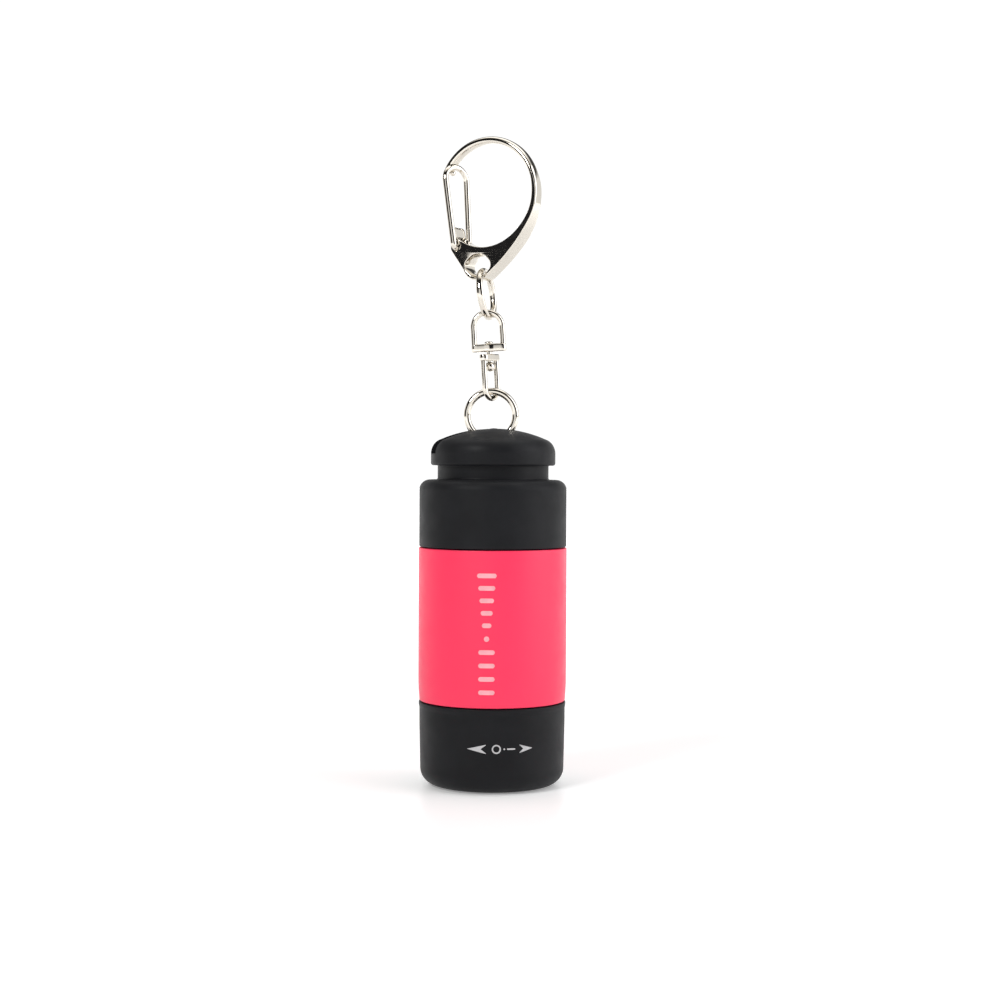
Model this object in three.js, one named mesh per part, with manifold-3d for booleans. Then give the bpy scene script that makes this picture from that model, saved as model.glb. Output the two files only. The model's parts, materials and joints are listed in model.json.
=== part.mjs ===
// Keychain flashlight: a small rechargeable torch standing on its head, with a push-on tail cap over its
// USB plug, and a key ring, a swivel, a link and a wire-gate snap hook above it.
// Millimetres, +Z up, the origin at the centre of the face that it stands on.

import * as THREE from 'three';
import { mergeVertices } from 'three/addons/utils/BufferGeometryUtils.js';
import Module from 'manifold-3d';

// ---------------------------------------------------------------- driving dimensions

const SHELL_SIDES = 40; // facets round the outer shells
const CORE_SIDES = 24; // facets round the small inner pieces
const TINY_SIDES = 12; // facets round pins and rivets
const WIRE_SIDES = 8; // facets round a wire
const GAP = 0.1; // air between two pieces of one body

// torch, from the face it stands on upwards
const HEAD_R = 11.82; // outer radius of the twist head below its rim
const HEAD_FACE_R = 8.95; // radius of the flat front face
const HEAD_CORNER = 2.7; // rounding between the front face and the side
const HEAD_RIM_R = 11.93; // flared rim where the head meets the sleeve
const HEAD_TOP = 13.46;
const WINDOW_R = 7.0; // clear opening of the front
const SLEEVE_FOOT_R = 11.82; // coloured sleeve, bottom and top radius
const SLEEVE_R = 12.0;
const SLEEVE_BOTTOM = 13.66;
const SLEEVE_TOP = 38.4;
const CAP_BOTTOM = 38.6;
const CAP_R = 11.96;
const CAP_SHOULDER = 49.4; // top of the cap's barrel
const CAP_SHOULDER_R = 1.7; // rounding of that shoulder
const CAP_NECK_R = 9.0;
const DOME_BOTTOM = 51.7;
const DOME_R = 10.1;
const DOME_TOP = 57.8;
const CROWN_R = 21.1; // sphere radius of the dome's crown

// how far in each shell reaches
const HEAD_BORE_R = 10.35; // bore of the head over the chassis nose
const LENS_BORE_R = 8.85;
const NOSE_R = 10.1; // chassis nose inside the head
const NOSE_BOTTOM = 4.9;
const NOSE_BORE_R = 8.2;
const CHASSIS_R = 10.6; // chassis inside the sleeve
const CHASSIS_BORE_R = 8.9;
const TAIL_R = 10.3; // chassis neck inside the cap
const TAIL_TOP = 40.9;
const CAP_BORE_R = 10.55; // cap's mouth over that neck
const ORING_WIRE_R = 0.44;

// cap slot for the key ring
const SLOT_WIDTH = 4.2;
const SLOT_FLOOR = 53.6;
const SLOT_TURN = 12; // degrees that the slot is turned about the torch's axis
const BAR_R = 0.6; // moulded bar across the slot
const BAR_Z = 57.15;

// USB plug, type A
const PLUG_WIDTH = 12.0;
const PLUG_DEPTH = 4.5;
const PLUG_WALL = 0.3;
const PLUG_BOTTOM = 38.2;
const PLUG_TOP = 52.0;

// chain: it leaves the torch at a slight lean
const RING_X = -0.32; // the key ring stands this far left of the axis
const RING_Z = 59.8;
const RING_R = 3.92; // to the middle of the wire
const RING_WIRE_R = 0.6;
const CHAIN_LEAN = 3.6; // degrees that the swivel leans left
const LOOP_TURN = 53; // degrees that the swivel's lower loop is turned
const LOOP_HALF_WIDTH = 1.65;
const LOOP_WIRE_R = 0.5;
const RIVET_R = 0.38;
const LOOP_TOP = 6.0; // top of the loop's plate above the key ring's topmost wire
const BOW_HALF_WIDTH = 2.33; // swivel's upper bow, to the middle of its wire
const BOW_WIRE_R = 0.45;
const BOW_BOTTOM = LOOP_TOP + 0.4;
const BOW_HEIGHT = 6.85;
const LINK_R = 3.9;
const LINK_WIRE_R = 0.43; // half of the link's wire across its plane
const LINK_WIRE_HALF_DEPTH = 0.6; // and along its axis
const LINK_SHIFT = 0.3; // the link hangs this far right of the bow's middle
const LINK_TURN = 75;
const LINK_LEAN = 7.3;
const WIRE_PLAY = 0.06; // air where one wire hangs on another

// snap hook: flat coordinates are measured from the middle of its round opening
const HOOK_TURN = 31; // degrees that its face is turned from the torch's front
const HOOK_BORE = { u: 0.1, v: -0.15, r: 8.35 };
const HOOK_RIM_R = 9.4;
const HOOK_THICK = 3.3; // at the eye
const HOOK_THIN = 2.05; // round the top
const EYE = { u: -1.1, v: -11.4, halfWidth: 2.3, halfHeight: 1.42 };
const EYE_PLAY = 0.32; // air between the link and the bottom of the eye
const LINK_IN_EYE = -0.9; // where across the hook the link hangs
const LOBE = { u: -1.2, v: -11.05, r: 2.75 }; // rounding of the body's foot, round the eye
const NOSE_ANGLE = 148; // degrees round the opening at which the nose ends
const PIVOT = { u: -5.1, v: -8.35 }; // where the gate turns
const PIVOT_BOSS_R = 1.1;
const GATE_TOP = { u: -6.45, v: 4.95 }; // middle of the wire at the gate's tip
const GATE_WIRE_R = 0.5;
const GATE_HALF_WIDTH = 2.3;
const GATE_TWIST = 18.4; // degrees that the gate's tip is twisted
const GATE_BEND_R = 0.7;
const GATE_STUB_END = 0.85; // how near the middle of the body its bent ends reach
const PEG = { u: -6.9, v: 4.05, r: 0.5 }; // ball on the nose, inside the gate's tip

// ---------------------------------------------------------------- helpers

const rad = THREE.MathUtils.degToRad;
const flashlight = new THREE.Group();
const wasm = await Module();
wasm.setup();

const MATERIALS = {
  softTouch: { color: 0x222326, roughness: 0.62, metalness: 0 },
  pink: { color: 0xfb4769, roughness: 0.55, metalness: 0 },
  nickel: { color: 0xd6d2c9, roughness: 0.12, metalness: 1 },
  clear: { color: 0xe8f0f2, roughness: 0.05, metalness: 0, transparent: true, opacity: 0.4 },
  mirror: { color: 0xe6e6e6, roughness: 0.08, metalness: 1 },
  rubber: { color: 0x1a1a1a, roughness: 0.8, metalness: 0 },
  white: { color: 0xe9e7e0, roughness: 0.5, metalness: 0 },
  board: { color: 0x1d5a34, roughness: 0.45, metalness: 0 },
  aluminium: { color: 0xb8babc, roughness: 0.4, metalness: 1 },
  brass: { color: 0xc9a24a, roughness: 0.3, metalness: 1 },
  gold: { color: 0xd9b455, roughness: 0.2, metalness: 1 },
  wrap: { color: 0x2f6fb0, roughness: 0.35, metalness: 0 },
  phosphor: { color: 0xf2dc6a, roughness: 0.3, metalness: 0 },
  redWire: { color: 0xb0241f, roughness: 0.5, metalness: 0 },
  blackWire: { color: 0x151515, roughness: 0.5, metalness: 0 },
  chip: { color: 0x18181a, roughness: 0.5, metalness: 0 },
};

/** Adds one named piece to the model, or to a group of it. */
function piece(name, geometry, look, parent = flashlight) {
  const mesh = new THREE.Mesh(geometry, new THREE.MeshStandardMaterial(MATERIALS[look]));
  mesh.name = name;
  parent.add(mesh);
  return mesh;
}

/** A group at a place, turned by degrees about X first, then Y, then Z. */
function placed(x, y, z, aboutX = 0, aboutY = 0, aboutZ = 0, parent = flashlight) {
  const group = new THREE.Group();
  group.position.set(x, y, z);
  group.rotation.set(rad(aboutX), rad(aboutY), rad(aboutZ), 'ZYX');
  parent.add(group);
  return group;
}

/** Points [radius, height] on an arc of an ellipse, from one angle to another. */
function arc(r, z, radiusR, radiusZ, fromDegrees, toDegrees, steps) {
  return Array.from({ length: steps + 1 }, (_, i) => {
    const angle = rad(fromDegrees + ((toDegrees - fromDegrees) * i) / steps);
    return [r + radiusR * Math.cos(angle), z + radiusZ * Math.sin(angle)];
  });
}

/** Turns an outline of [radius, height] points, counter-clockwise, about Z. */
function turned(outline, sides = CORE_SIDES) {
  const points = outline.map(([r, z]) => new THREE.Vector2(r > 1e-9 ? r : 0, z));
  if (points[0].x > 0) points.push(points[0]);
  return new THREE.LatheGeometry(points, sides).rotateX(Math.PI / 2);
}

/** A tube with square edges. An inner radius of 0 gives a disc. */
function ring(inner, outer, bottom, top, sides = CORE_SIDES) {
  return turned([[inner, bottom], [outer, bottom], [outer, top], [inner, top]], sides);
}

function box(width, depth, height, x, y, z) {
  return new THREE.BoxGeometry(width, depth, height).translate(x, y, z);
}

function toSolid(geometry) {
  const bare = geometry.clone();
  bare.deleteAttribute('normal');
  bare.deleteAttribute('uv');
  const merged = mergeVertices(bare, 1e-5);
  return new wasm.Manifold(
    new wasm.Mesh({
      numProp: 3,
      vertProperties: new Float32Array(merged.attributes.position.array),
      triVerts: new Uint32Array(merged.index.array),
    }),
  );
}

function toGeometry(solid) {
  const mesh = solid.getMesh();
  const geometry = new THREE.BufferGeometry();
  geometry.setAttribute('position', new THREE.BufferAttribute(new Float32Array(mesh.vertProperties), 3));
  geometry.setIndex(new THREE.BufferAttribute(new Uint32Array(mesh.triVerts), 1));
  return geometry;
}

const join = (first, ...rest) =>
  toGeometry(rest.reduce((all, next) => all.add(toSolid(next)), toSolid(first)));
const cut = (first, ...rest) =>
  toGeometry(rest.reduce((all, next) => all.subtract(toSolid(next)), toSolid(first)));
const common = (first, second) => toGeometry(toSolid(first).intersect(toSolid(second)));

/** A round wire along a curve. */
function wire(curve, radius, steps, sides = WIRE_SIDES) {
  const section = new THREE.Shape();
  for (let i = 0; i < sides; i += 1) {
    const angle = (2 * Math.PI * i) / sides;
    section[i ? 'lineTo' : 'moveTo'](radius * Math.cos(angle), radius * Math.sin(angle));
  }
  section.closePath();
  return new THREE.ExtrudeGeometry(section, { steps, extrudePath: curve, curveSegments: 1 });
}

// ---------------------------------------------------------------- twist head

function headShell() {
  return turned(
    [
      [WINDOW_R, 1.2],
      [WINDOW_R, 0.7],
      [WINDOW_R + 0.6, 0],
      ...arc(HEAD_FACE_R, HEAD_CORNER, HEAD_R - HEAD_FACE_R - 0.15, HEAD_CORNER, -90, 0, 6),
      [HEAD_R, 10.5],
      [HEAD_R, HEAD_TOP - 0.9],
      [HEAD_RIM_R, HEAD_TOP - 0.45],
      [HEAD_RIM_R, HEAD_TOP - 0.15],
      [HEAD_RIM_R - 0.15, HEAD_TOP],
      [HEAD_BORE_R, HEAD_TOP],
      [HEAD_BORE_R, 4.4],
      [LENS_BORE_R, 4.4],
      [LENS_BORE_R, 1.2],
    ],
    SHELL_SIDES,
  );
}

function frontLens() {
  const flange = LENS_BORE_R - 0.15;
  return turned([[0, 0.6], [6.6, 0.6], [6.8, 0.8], [6.8, 1.9], [flange, 1.9], [flange, 3.3], [0, 3.3]]);
}

/** A parabolic cup: its wide rim faces the lens, and the emitter sits in its narrow neck. */
function reflector() {
  const rim = { r: 7.6, z: 3.6 };
  const neck = { r: 2.4, z: 9.2 };
  const spread = (rim.r ** 2 - neck.r ** 2) / (neck.z - rim.z);
  const inside = (z) => Math.sqrt(neck.r ** 2 + spread * (neck.z - z));
  const wall = 0.75;
  const steps = 6;
  const heights = Array.from({ length: steps + 1 }, (_, i) => rim.z + ((neck.z - rim.z) * i) / steps);
  return turned([
    [rim.r, 3.4],
    [LENS_BORE_R - 0.15, 3.4],
    [LENS_BORE_R - 0.15, 4.0],
    ...heights.slice(1).map((z) => [inside(z) + wall, z]),
    ...heights.reverse().map((z) => [inside(z), z]),
  ]);
}

/** The emitter's square package, with its small clear dome pointing down into the reflector. */
function ledEmitter() {
  const dome = turned([[0, 8.1], ...arc(0, 9.3, 1.2, 1.2, -72, 0, 4), [1.2, 9.5], [0, 9.5]], TINY_SIDES);
  return join(box(3, 3, 0.8, 0, 0, 9.55), dome);
}

class Helix extends THREE.Curve {
  constructor(radius, bottom, top, turns) {
    super();
    Object.assign(this, { radius, bottom, top, turns });
  }

  getPoint(t, target = new THREE.Vector3()) {
    const angle = 2 * Math.PI * this.turns * t;
    const height = this.bottom + (this.top - this.bottom) * t;
    return target.set(this.radius * Math.cos(angle), this.radius * Math.sin(angle), height);
  }
}

function buildHead() {
  piece('head_shell', headShell(), 'softTouch');
  piece('lens_gasket', ring(7.0, LENS_BORE_R - 0.15, 1.3, 1.8), 'rubber');
  piece('front_lens', frontLens(), 'clear');
  piece('reflector', reflector(), 'mirror');
  piece('led_holder', ring(2.75, 6.5, 9.3, 9.85), 'white');
  piece('led_emitter', ledEmitter(), 'phosphor');
  piece('led_board', ring(0, 7.6, 10.05, 11.2), 'aluminium');
  piece('contact_spring', wire(new Helix(2.2, 11.55, 13.15, 2.75), 0.22, 44, 6), 'nickel');
}

// ---------------------------------------------------------------- body

function innerChassis() {
  const groove = (bottom, floor, outer) => [
    [outer, bottom],
    [floor, bottom],
    [floor, bottom + 1.1],
    [outer, bottom + 1.1],
  ];
  return turned(
    [
      [NOSE_BORE_R, NOSE_BOTTOM],
      [NOSE_R - 0.4, NOSE_BOTTOM],
      [NOSE_R, NOSE_BOTTOM + 0.4],
      ...groove(11.3, NOSE_R - 0.75, NOSE_R),
      [NOSE_R, 13.8],
      [CHASSIS_R, 13.8],
      [CHASSIS_R, SLEEVE_TOP - 0.1],
      [TAIL_R, SLEEVE_TOP - 0.1],
      ...groove(39.1, TAIL_R - 0.9, TAIL_R),
      [TAIL_R, TAIL_TOP - 0.3],
      [TAIL_R - 0.3, TAIL_TOP],
      [CHASSIS_BORE_R, TAIL_TOP],
      [CHASSIS_BORE_R, 13.9],
      [NOSE_BORE_R, 13.9],
    ],
    SHELL_SIDES,
  );
}

function bodySleeve() {
  const bore = CHASSIS_R + GAP;
  return turned(
    [
      [bore, SLEEVE_BOTTOM + 0.24],
      [SLEEVE_FOOT_R - 0.5, SLEEVE_BOTTOM],
      [SLEEVE_FOOT_R - 0.15, SLEEVE_BOTTOM],
      [SLEEVE_FOOT_R, SLEEVE_BOTTOM + 0.15],
      [SLEEVE_R, SLEEVE_BOTTOM + 2.6],
      [SLEEVE_R + 0.03, SLEEVE_TOP - 0.2],
      [SLEEVE_R - 0.17, SLEEVE_TOP],
      [bore, SLEEVE_TOP],
    ],
    SHELL_SIDES,
  );
}

function oRing(wireMiddle, z) {
  return new THREE.TorusGeometry(wireMiddle, ORING_WIRE_R, WIRE_SIDES, SHELL_SIDES).translate(0, 0, z);
}

function contactPad() {
  return turned([[0, 13.45], [3.0, 13.45], [3.0, 13.85], [1.4, 13.85], [1.4, 15.5], [0, 15.5]]);
}

function batteryCell() {
  const nub = { r: 2.4, z: 15.65 };
  const foot = 16.2;
  const top = 31.8;
  return turned([
    [0, nub.z],
    [nub.r, nub.z],
    [nub.r, foot],
    [6.5, foot],
    [7.0, foot + 0.5],
    [7.0, top - 0.5],
    [6.5, top],
    [0, top],
  ]);
}

function lead(...points) {
  const curve = new THREE.CatmullRomCurve3(points.map((p) => new THREE.Vector3(...p)));
  return wire(curve, 0.42, 18, 6);
}

function plugOutline(inset) {
  const [w, d] = [PLUG_WIDTH / 2 - inset, PLUG_DEPTH / 2 - inset];
  const corner = Math.max(0.5 - inset, 0.2);
  const outline = new THREE.Shape();
  outline.moveTo(w, -d + corner);
  outline.absarc(w - corner, d - corner, corner, 0, Math.PI / 2);
  outline.absarc(-w + corner, d - corner, corner, Math.PI / 2, Math.PI);
  outline.absarc(-w + corner, -d + corner, corner, Math.PI, 1.5 * Math.PI);
  outline.absarc(w - corner, -d + corner, corner, 1.5 * Math.PI, 2 * Math.PI);
  return outline;
}

function plugShell() {
  const outline = plugOutline(0);
  outline.holes.push(plugOutline(PLUG_WALL));
  const depth = PLUG_TOP - PLUG_BOTTOM;
  const tube = new THREE.ExtrudeGeometry(outline, { depth, bevelEnabled: false, curveSegments: 3 });
  const latchHoles = [-2.9, 2.9].map((x) => box(2.4, PLUG_DEPTH + 2, 2.2, x, 0, PLUG_TOP - 6.3));
  return cut(tube.translate(0, 0, PLUG_BOTTOM), ...latchHoles);
}

/** The plug's insulator fills the bottom of the shell, and its tongue carries the contacts. */
function plugTongue() {
  const width = PLUG_WIDTH - 2 * PLUG_WALL - 0.2;
  const depth = PLUG_DEPTH - 2 * PLUG_WALL - 0.2;
  const block = { bottom: PLUG_BOTTOM + 0.2, top: 42.2 };
  const tongue = { depth: 1.8, top: PLUG_TOP - 0.35 };
  return join(
    box(width, depth, block.top - block.bottom, 0, 0, (block.top + block.bottom) / 2),
    box(width, tongue.depth, tongue.top - 40, 0, (tongue.depth - depth) / 2, (tongue.top + 40) / 2),
  );
}

function buildPlug() {
  piece('usb_shell', plugShell(), 'nickel');
  piece('usb_tongue', plugTongue(), 'white');
  const face = (PLUG_DEPTH - 2 * PLUG_WALL - 0.2) / -2 + 1.8; // the side of the tongue that carries them
  [-3.5, -1.0, 1.0, 3.5].forEach((x, i) => {
    const length = Math.abs(x) > 2 ? 8.4 : 7.4; // the power contacts are the longer pair
    const top = PLUG_TOP - (Math.abs(x) > 2 ? 0.9 : 1.9);
    piece(`usb_contact_${i + 1}`, box(1.0, 0.16, length, x, face + 0.1, top - length / 2), 'gold');
  });
  const plate = ring(0, CHASSIS_BORE_R - 0.12, 39.3, 40.8);
  const hole = box(PLUG_WIDTH + 0.3, PLUG_DEPTH + 0.3, 4, 0, 0, 40);
  piece('tail_plate', cut(plate, hole), 'softTouch');
}

function buildBody() {
  piece('body_sleeve', bodySleeve(), 'pink');
  piece('inner_chassis', innerChassis(), 'softTouch');
  piece('head_oring', oRing(NOSE_R - 0.25, 11.85), 'rubber');
  piece('tail_oring', oRing(TAIL_R - 0.38, 39.65), 'rubber');
  piece('contact_carrier', ring(1.5, CHASSIS_BORE_R - 0.12, 14.0, 15.3), 'white');
  piece('contact_pad', contactPad(), 'brass');
  piece('battery_cell', batteryCell(), 'wrap');
  piece('foam_pad', ring(0, 6.8, 31.95, 33.05), 'rubber');
  piece('charging_board', box(12.6, 1.0, 4.6, 0, 0, 35.6), 'board');
  piece('charge_chip', box(4.0, 1.1, 3.0, -0.6, -1.1, 35.6), 'chip');
  piece('charge_indicator', box(1.6, 0.8, 0.8, 3.9, -0.95, 36.6), 'redWire');
  piece(
    'lead_positive',
    lead([7.9, 0, 15.6], [7.9, 0, 22], [7.9, 0, 28], [7.85, 0.2, 32.6], [6.6, 1.1, 34.4], [5.2, 1.1, 35.6]),
    'redWire',
  );
  piece(
    'lead_negative',
    lead([-7.75, 0, 28.6], [-7.9, 0, 31], [-7.2, -0.7, 33.4], [-5.4, -1.1, 35.2]),
    'blackWire',
  );
  buildPlug();
}

// ---------------------------------------------------------------- tail cap

/** A hollow cap with a domed knob on a neck. A slot across the knob leaves a bar for the key ring. */
function capShell() {
  const shoulder = CAP_SHOULDER_R;
  const crown = (r) => DOME_TOP - CROWN_R + Math.sqrt(CROWN_R ** 2 - r ** 2);
  const body = turned(
    [
      [0, 52.4],
      [7.1, 52.4],
      [7.1, 47.6],
      [10.2, 47.6],
      [10.2, 42.0],
      [CAP_BORE_R, 41.5],
      [CAP_BORE_R, CAP_BOTTOM],
      [CAP_R - 0.15, CAP_BOTTOM],
      [CAP_R, CAP_BOTTOM + 0.15],
      ...arc(CAP_R - shoulder, CAP_SHOULDER - shoulder, shoulder, shoulder, 0, 90, 5),
      [CAP_NECK_R, CAP_SHOULDER],
      [CAP_NECK_R, DOME_BOTTOM],
      ...arc(DOME_R - 0.4, DOME_BOTTOM + 0.4, 0.4, 0.4, -90, 0, 2),
      ...arc(DOME_R - 2.2, 53.6, 2.2, 2.45, 0, 75, 5),
      ...[7.4, 5.6, 3.8, 2.0].map((r) => [r, crown(r)]),
      [0, DOME_TOP],
    ],
    SHELL_SIDES,
  );
  const height = 10;
  const slot = box(30, SLOT_WIDTH, height, 0, 0, SLOT_FLOOR + height / 2);
  const bar = new THREE.CylinderGeometry(BAR_R, BAR_R, SLOT_WIDTH + 1, TINY_SIDES).translate(0, 0, BAR_Z);
  return cut(body, toGeometry(toSolid(slot).subtract(toSolid(bar))).rotateZ(rad(SLOT_TURN)));
}

// ---------------------------------------------------------------- chain

function keyRing() {
  const torus = new THREE.TorusGeometry(RING_R, RING_WIRE_R, WIRE_SIDES, 36);
  return torus.rotateX(Math.PI / 2).translate(RING_X, 0, RING_Z);
}

/** A U of wire in the XZ plane: two legs from one height, and a half circle beyond bendMiddle. */
function uCurve(halfWidth, bendMiddle, legEnd) {
  const away = Math.sign(bendMiddle - legEnd);
  const handle = halfWidth * 0.5523; // length of a quarter circle's handles
  const at = (x, z) => new THREE.Vector3(x, 0, z);
  const tip = bendMiddle + away * halfWidth;
  const shoulder = bendMiddle + away * handle;
  const path = new THREE.CurvePath();
  path.add(new THREE.LineCurve3(at(-halfWidth, legEnd), at(-halfWidth, bendMiddle)));
  path.add(
    new THREE.CubicBezierCurve3(
      at(-halfWidth, bendMiddle), at(-halfWidth, shoulder), at(-handle, tip), at(0, tip)),
  );
  path.add(
    new THREE.CubicBezierCurve3(
      at(0, tip), at(handle, tip), at(halfWidth, shoulder), at(halfWidth, bendMiddle)),
  );
  path.add(new THREE.LineCurve3(at(halfWidth, bendMiddle), at(halfWidth, legEnd)));
  return path;
}

/** Wire U closed by a bar that has a round hole up its middle. */
function stirrup(halfWidth, wireR, bendMiddle, bar) {
  const u = wire(uCurve(halfWidth, bendMiddle, (bar.bottom + bar.top) / 2), wireR, 34);
  const end = bar.depth / 2;
  const reach = halfWidth + wireR + 0.03 - end;
  const outline = new THREE.Shape();
  outline.absarc(reach, 0, end, -Math.PI / 2, Math.PI / 2);
  outline.absarc(-reach, 0, end, Math.PI / 2, 1.5 * Math.PI);
  const strap = new THREE.ExtrudeGeometry(outline, {
    depth: bar.top - bar.bottom,
    bevelEnabled: false,
    curveSegments: 5,
  });
  const hole = ring(0, RIVET_R + 0.08, bar.bottom - 1, bar.top + 1, TINY_SIDES);
  return cut(join(u, strap.translate(0, 0, bar.bottom)), hole);
}

/** Heights in the swivel are measured from the key ring's topmost wire, on which it stands. */
function buildSwivel() {
  const group = placed(RING_X, 0, RING_Z + RING_R, 0, -CHAIN_LEAN);
  const loopTip = -(RING_WIRE_R + LOOP_WIRE_R + WIRE_PLAY);
  const plate = { bottom: LOOP_TOP - 1.05, top: LOOP_TOP, depth: 1.5 };
  const loop = stirrup(LOOP_HALF_WIDTH, LOOP_WIRE_R, loopTip + LOOP_HALF_WIDTH, plate);
  piece('swivel_loop', loop.rotateZ(rad(LOOP_TURN)), 'nickel', group);

  const bar = { bottom: BOW_BOTTOM, top: BOW_BOTTOM + 1.3, depth: 1.4 };
  const archMiddle = BOW_BOTTOM + BOW_HEIGHT - BOW_WIRE_R - BOW_HALF_WIDTH;
  piece('swivel_bow', stirrup(BOW_HALF_WIDTH, BOW_WIRE_R, archMiddle, bar), 'nickel', group);

  const ball = { r: 0.8, z: plate.bottom - 0.95 };
  const head = { r: 0.75, z: bar.top + 0.08 };
  const rivet = turned(
    [
      ...arc(0, ball.z, ball.r, ball.r, -90, 58, 7),
      [RIVET_R, ball.z + 0.72],
      [RIVET_R, head.z],
      [head.r, head.z],
      ...arc(0, head.z, head.r, 0.35, 20, 90, 3),
    ],
    TINY_SIDES,
  );
  piece('swivel_rivet', rivet, 'nickel', group);
}

/** Where the middle of the bow's topmost wire is. The link hangs round it. */
function bowTop() {
  const up = BOW_BOTTOM + BOW_HEIGHT - BOW_WIRE_R;
  const lean = rad(CHAIN_LEAN);
  return { x: RING_X - up * Math.sin(lean), z: RING_Z + RING_R + up * Math.cos(lean) };
}

const linkDrop = LINK_WIRE_R + BOW_WIRE_R + WIRE_PLAY; // link's lowest wire under the bow's wire

function buildLink() {
  const bow = bowTop();
  const group = placed(bow.x + LINK_SHIFT, 0, bow.z, 0, -LINK_LEAN);
  const torus = new THREE.TorusGeometry(LINK_R, LINK_WIRE_R, WIRE_SIDES, 32);
  torus.scale(1, 1, LINK_WIRE_HALF_DEPTH / LINK_WIRE_R).rotateX(Math.PI / 2).rotateZ(rad(LINK_TURN));
  piece('link', torus.translate(0, 0, LINK_R - linkDrop), 'nickel', group);
}

/** Where the middle of the link's topmost wire is. The hook's eye sits on it. */
function linkTop() {
  const bow = bowTop();
  const up = 2 * LINK_R - linkDrop;
  const lean = rad(LINK_LEAN);
  return { x: bow.x + LINK_SHIFT - up * Math.sin(lean), z: bow.z + up * Math.cos(lean) };
}

// ---------------------------------------------------------------- snap hook

/** The gate's wire, from the bent end in front of the body, over its tip, to the one behind. */
class GateCurve extends THREE.Curve {
  constructor() {
    super();
    this.quarter = (GATE_HALF_WIDTH * Math.PI) / 2;
    this.archMiddle = GATE_TOP.v - GATE_HALF_WIDTH;
    this.leg = this.archMiddle - PIVOT.v - GATE_BEND_R;
    this.bend = (GATE_BEND_R * Math.PI) / 2;
    this.half = this.quarter + this.leg + this.bend + GATE_HALF_WIDTH - GATE_BEND_R - GATE_STUB_END;
  }

  /** How far out from the middle, and how high, the wire is at a distance from its tip. */
  outAndUp(distance) {
    const h = GATE_HALF_WIDTH;
    let d = distance;
    if (d < this.quarter) return [h * Math.sin(d / h), this.archMiddle + h * Math.cos(d / h)];
    d -= this.quarter;
    if (d < this.leg) return [h, this.archMiddle - d];
    d -= this.leg;
    const foot = { out: h - GATE_BEND_R, up: PIVOT.v + GATE_BEND_R };
    const turn = Math.min(d, this.bend) / GATE_BEND_R;
    const straight = Math.max(d - this.bend, 0);
    return [
      foot.out + GATE_BEND_R * Math.cos(turn) - straight,
      foot.up - GATE_BEND_R * Math.sin(turn),
    ];
  }

  getPoint(t, target = new THREE.Vector3()) {
    const along = (1 - 2 * t) * this.half;
    const side = Math.sign(along) || 1;
    const [out, up] = this.outAndUp(Math.abs(along));
    const share = (up - PIVOT.v) / (GATE_TOP.v - PIVOT.v);
    const twist = rad(GATE_TWIST) * share;
    const u = PIVOT.u + (GATE_TOP.u - PIVOT.u) * share - side * out * Math.sin(twist);
    return target.set(u, up, side * out * Math.cos(twist));
  }
}

/** Outline of the hook's body: round the outside from the nose to the foot, and back inside. */
function hookOutline() {
  const [lobeU, lobeV] = [LOBE.u + LOBE.r * Math.cos(rad(-47)), LOBE.v + LOBE.r * Math.sin(rad(-47))];
  const outline = new THREE.Shape();
  outline.absarc(0, 0, HOOK_RIM_R, rad(NOSE_ANGLE), rad(-8), true);
  outline.bezierCurveTo(9.2, -3.6, 7.3, -7.9, lobeU, lobeV);
  outline.absarc(LOBE.u, LOBE.v, LOBE.r, rad(-47), rad(-160), true);
  outline.absarc(PIVOT.u, PIVOT.v, PIVOT_BOSS_R, rad(-145), rad(-185), true);
  outline.lineTo(-6.45, -5.6);
  outline.absarc(-5.92, -5.4, 0.5, rad(170), rad(10), true);
  outline.absarc(HOOK_BORE.u, HOOK_BORE.v, HOOK_BORE.r, rad(-130), rad(NOSE_ANGLE), false);
  return outline;
}

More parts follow.
